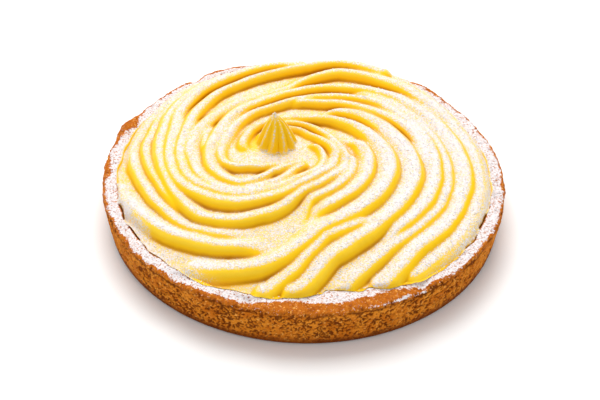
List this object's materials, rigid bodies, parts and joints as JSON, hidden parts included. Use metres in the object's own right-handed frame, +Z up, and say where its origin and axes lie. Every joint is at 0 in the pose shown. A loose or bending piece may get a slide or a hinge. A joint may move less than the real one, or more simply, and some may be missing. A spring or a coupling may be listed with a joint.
{
  "type": "lemon tart",
  "caption": "Round shortcrust tart filled with lemon cream, piped in ropes that swirl in to a ribbed peak and dusted with icing sugar.",
  "frame": {"origin": "middle of the tart's flat underside, on the table", "axes": "+Z up, out of the tart's top; -Y to the front, the side where most of the piped ropes start; +X to the right seen from the front"},
  "size_m": [0.2202, 0.2203, 0.0594],
  "materials": {
    "crust": "golden-brown baked shortcrust, dry and crumbly, dusted with icing sugar on its rim",
    "lemon_cream": "smooth soft yellow lemon cream with a soft sheen, dusted with icing sugar"
  },
  "bodies": {
    "root": {"crust": "crust", "lemon_cream": "lemon_cream"}
  },
  "joints": []
}
